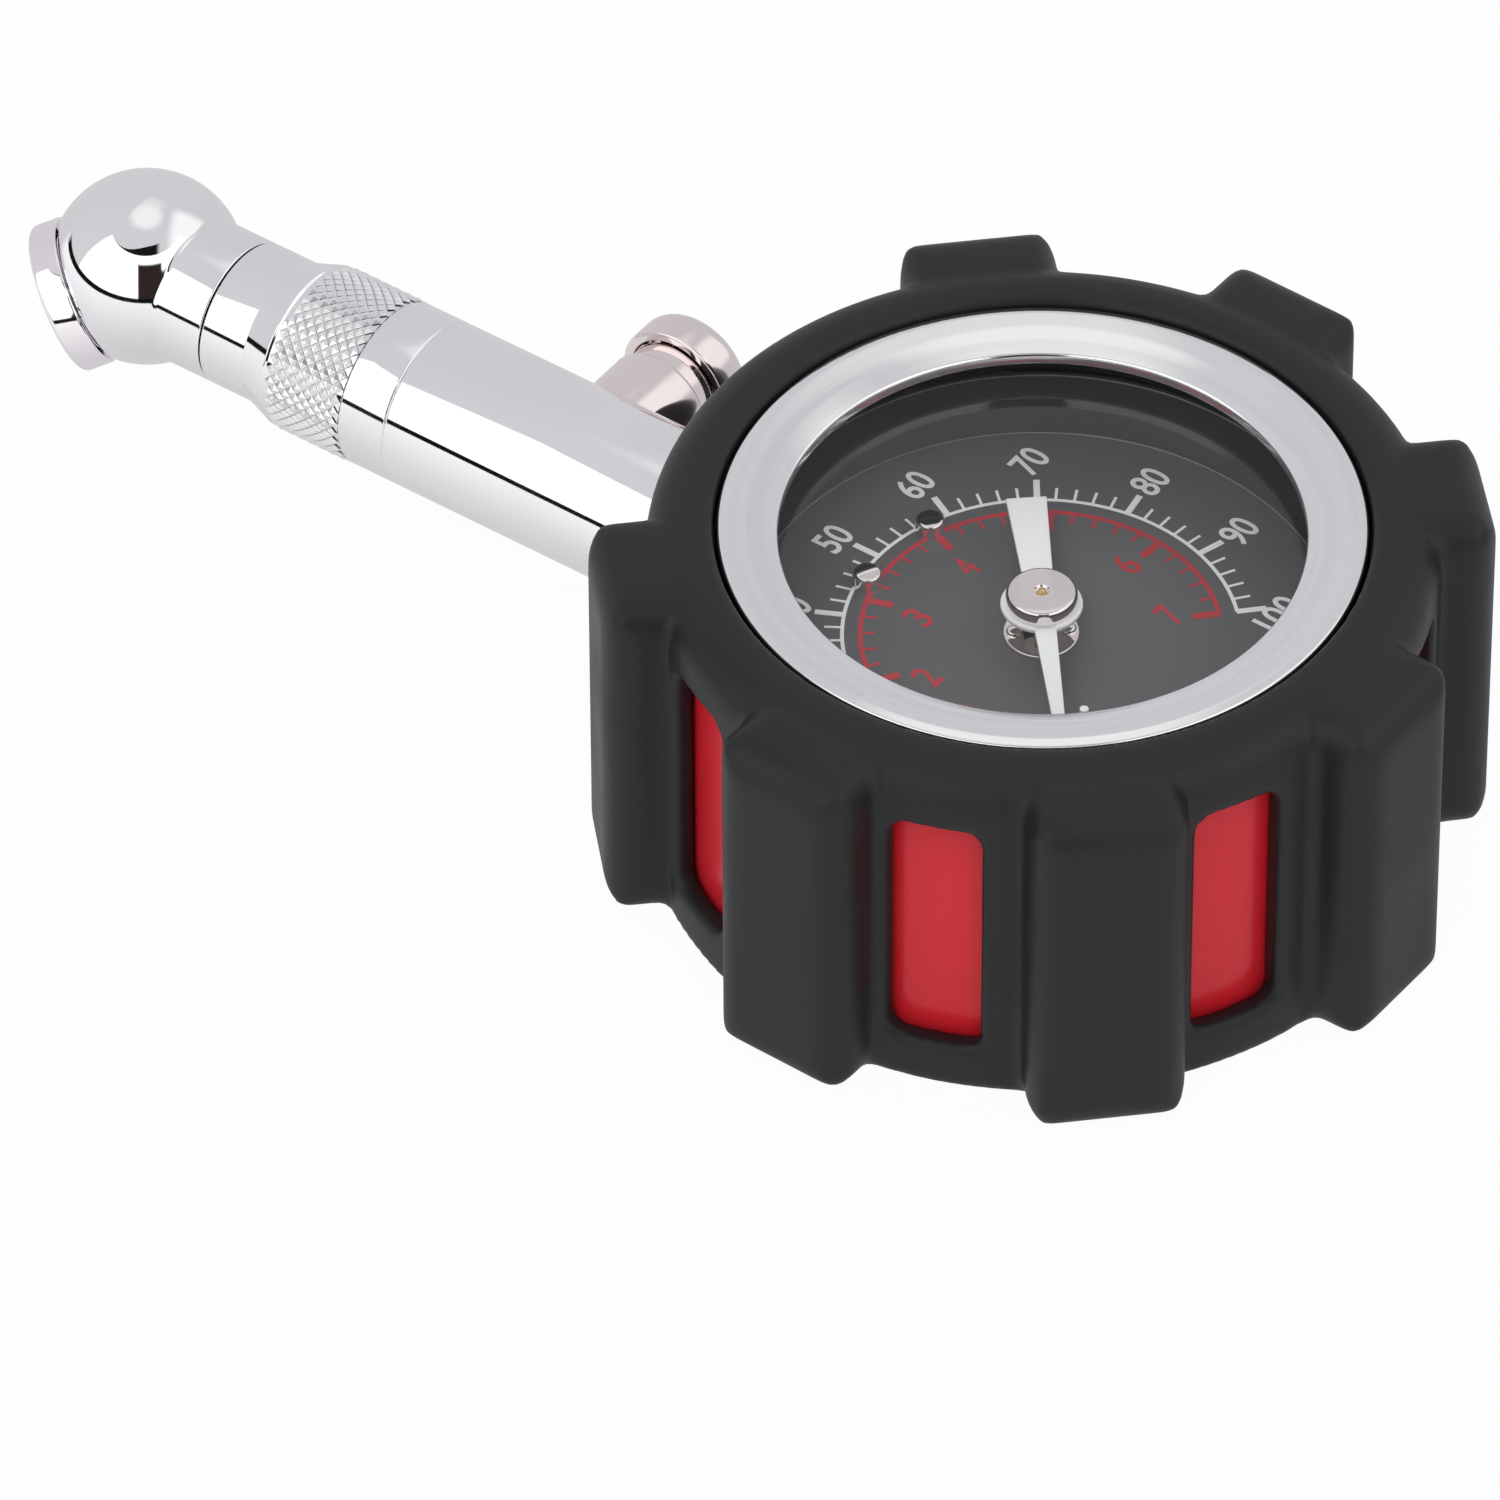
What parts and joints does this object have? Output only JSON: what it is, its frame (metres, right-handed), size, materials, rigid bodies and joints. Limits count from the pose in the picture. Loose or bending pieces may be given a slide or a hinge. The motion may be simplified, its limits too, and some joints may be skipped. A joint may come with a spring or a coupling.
{
  "type": "tyre pressure gauge",
  "caption": "Dial tyre pressure gauge in a lugged rubber boot, with a chrome stem, a push-button bleeder valve and a swivelling angled chuck.",
  "frame": {"origin": "centre of the boot's flat back, on the dial's axis", "axes": "+Z out of the dial, +Y along the stem towards the chuck, +X towards the bleeder valve"},
  "size_m": [0.07, 0.1318, 0.0322],
  "materials": {
    "boot_rubber": "matte moulded rubber",
    "red_enamel": "glossy enamel",
    "bright_chrome": "polished",
    "clear_lens": "clear",
    "black_rubber": "matte",
    "dial_grey": "satin paint",
    "pointer_white": "satin paint",
    "nickel": "nickel plate",
    "brass": "machined",
    "spring_steel": "plain"
  },
  "bodies": {
    "gauge": {"rubber_boot": "boot_rubber", "case_shell": "red_enamel", "bezel_ring": "bright_chrome", "lens": "clear_lens", "lens_gasket": "black_rubber", "dish_ring": "dial_grey", "dial_plate": "dial_grey", "dial_pegs": "nickel", "zero_stop": "pointer_white", "dial_bush": "nickel", "dial_rivets": "nickel", "hairspring": "spring_steel", "hairspring_stud": "brass", "movement_back_plate": "brass", "movement_front_plate": "brass", "movement_posts": "brass", "movement_screws": "spring_steel", "bourdon_tube": "brass", "tube_tip": "brass", "socket_block": "brass", "stem_tube": "bright_chrome", "restrictor": "brass", "check_seat": "brass", "check_spring": "spring_steel", "knurled_collar": "bright_chrome", "bleed_boss": "nickel", "bleed_spring": "spring_steel"},
    "pointer": {"needle": "pointer_white", "hub_cap": "nickel", "pinion_shaft": "brass"},
    "sector": {"sector_gear": "brass"},
    "link": {"drive_link": "spring_steel"},
    "poppet": {"check_poppet": "black_rubber"},
    "chuck": {"chuck_head": "bright_chrome", "swivel_ring": "black_rubber", "retaining_ring": "spring_steel", "chuck_foot": "nickel", "chuck_seal": "black_rubber", "valve_depressor": "brass"},
    "bleeder": {"bleed_button": "nickel", "bleed_seal": "black_rubber"}
  },
  "joints": [
    {"name": "sector_swing", "type": "hinge", "parent": "gauge", "child": "sector", "pos_m": [0, -0.0105, 0.0084], "axis": [0, 0, 1], "range_deg": [0, 45], "stiffness_Nm_per_rad": 0.001, "springref_deg": -11.46},
    {"name": "pointer_turn", "type": "hinge", "parent": "gauge", "child": "pointer", "pos_m": [0, 0, 0.0084], "axis": [0, 0, 1], "range_deg": [-270, 0], "deforming": ["hairspring"]},
    {"name": "link_swing", "type": "hinge", "parent": "sector", "child": "link", "pos_m": [-0.00191, -0.01512, 0.0092], "axis": [0, 0, 1], "range_deg": [-45, 0]},
    {"name": "poppet_lift", "type": "slide", "parent": "gauge", "child": "poppet", "axis": [0, -1, 0], "range_m": [0, 0.0012], "stiffness_N_per_m": 60, "springref_m": -0.001, "deforming": ["check_spring"]},
    {"name": "chuck_swivel", "type": "hinge", "parent": "gauge", "child": "chuck", "pos_m": [0, 0.0774, 0.0134], "axis": [0, 1, 0], "continuous": true},
    {"name": "bleed_press", "type": "slide", "parent": "gauge", "child": "bleeder", "axis": [-1, 0, 0], "range_m": [0, 0.0015], "stiffness_N_per_m": 300, "springref_m": -0.001, "deforming": ["bleed_spring"]}
  ],
  "couplings": [
    {"joint": "pointer_turn", "follows": "sector_swing", "ratio": -6},
    {"joint": "link_swing", "follows": "sector_swing", "ratio": -1}
  ]
}
